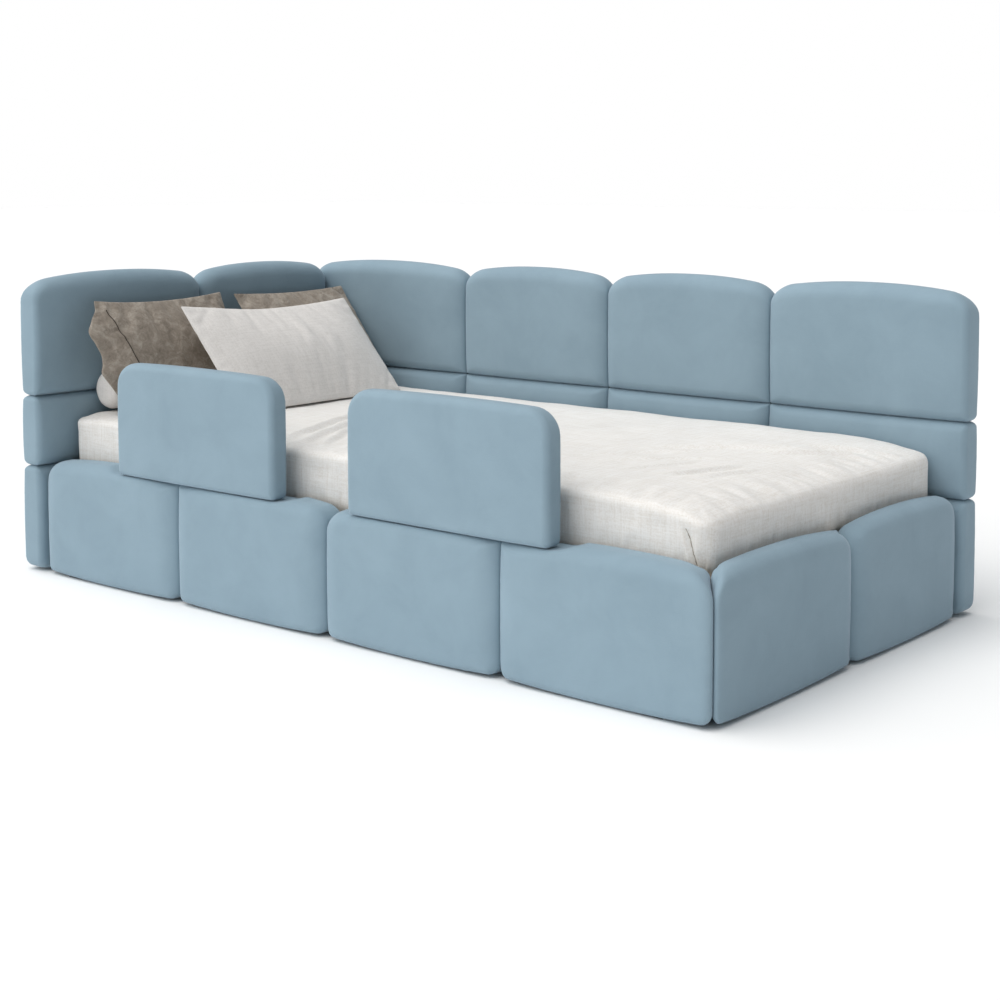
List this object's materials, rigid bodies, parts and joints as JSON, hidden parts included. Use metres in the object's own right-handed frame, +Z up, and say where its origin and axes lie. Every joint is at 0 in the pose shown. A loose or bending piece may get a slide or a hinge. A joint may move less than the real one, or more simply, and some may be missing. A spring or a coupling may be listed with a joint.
{
  "type": "toddler bed",
  "caption": "Fully upholstered toddler bed with a high padded head and back, low padded front and foot, lift-off guard rails, mattress and pillows.",
  "frame": {"origin": "middle of the footprint, on the floor", "axes": "+X towards the foot end, -Y towards the open side with the guard rails, +Z up"},
  "size_m": [1.77, 0.953, 0.641],
  "materials": {
    "velvet": "short-pile dusty blue velour",
    "plywood": "raw birch plywood",
    "foam": "foam in a plain cover",
    "sheet_linen": "slub linen weave, off-white",
    "brown_velvet": "crushed velvet, taupe brown",
    "white_linen": "plain light linen",
    "pine": "planed pine",
    "black_plastic": "moulded",
    "zinc_steel": "zinc plated"
  },
  "bodies": {
    "frame": {"back_core": "plywood", "back_low_pad_1": "velvet", "back_low_pad_2": "velvet", "back_low_pad_3": "velvet", "back_low_pad_4": "velvet", "back_mid_pad_1": "velvet", "back_mid_pad_2": "velvet", "back_mid_pad_3": "velvet", "back_mid_pad_4": "velvet", "back_top_pad_1": "velvet", "back_top_pad_2": "velvet", "back_top_pad_3": "velvet", "back_top_pad_4": "velvet", "bracket_bolts": "zinc_steel", "centre_legs": "pine", "centre_rail": "pine", "corner_brackets": "zinc_steel", "foot_core": "plywood", "foot_pad_1": "velvet", "foot_pad_2": "velvet", "front_core": "plywood", "front_pad_1": "velvet", "front_pad_2": "velvet", "front_pad_3": "velvet", "front_pad_4": "velvet", "glides": "black_plastic", "guard_sockets": "zinc_steel", "head_core": "plywood", "head_low_pad_1": "velvet", "head_low_pad_2": "velvet", "head_mid_pad_1": "velvet", "head_mid_pad_2": "velvet", "head_top_pad_1": "velvet", "head_top_pad_2": "velvet", "ledger_back": "pine", "ledger_front": "pine", "ledger_screws": "zinc_steel", "slat_01": "pine", "slat_02": "pine", "slat_03": "pine", "slat_04": "pine", "slat_05": "pine", "slat_06": "pine", "slat_07": "pine", "slat_08": "pine", "slat_09": "pine", "slat_10": "pine"},
    "guard_a": {"guard_a_board": "plywood", "guard_a_pad": "velvet", "guard_a_tongues": "zinc_steel"},
    "guard_b": {"guard_b_board": "plywood", "guard_b_pad": "velvet", "guard_b_tongues": "zinc_steel"},
    "mattress": {"fitted_sheet": "sheet_linen", "mattress_core": "foam"},
    "pillows": {"brown_pillow_left": "brown_velvet", "brown_pillow_right": "brown_velvet", "white_bolster": "white_linen", "white_pillow": "white_linen"}
  },
  "joints": [
    {"name": "guard_a_lift", "type": "slide", "parent": "frame", "child": "guard_a", "axis": [0, 0, 1], "range_m": [0, 0.16]},
    {"name": "guard_b_lift", "type": "slide", "parent": "frame", "child": "guard_b", "axis": [0, 0, 1], "range_m": [0, 0.16]},
    {"name": "mattress_lift", "type": "slide", "parent": "frame", "child": "mattress", "axis": [0, 0, 1], "range_m": [0, 0.3]},
    {"name": "pillows_lift", "type": "slide", "parent": "mattress", "child": "pillows", "axis": [0, 0, 1], "range_m": [0, 0.3]}
  ]
}
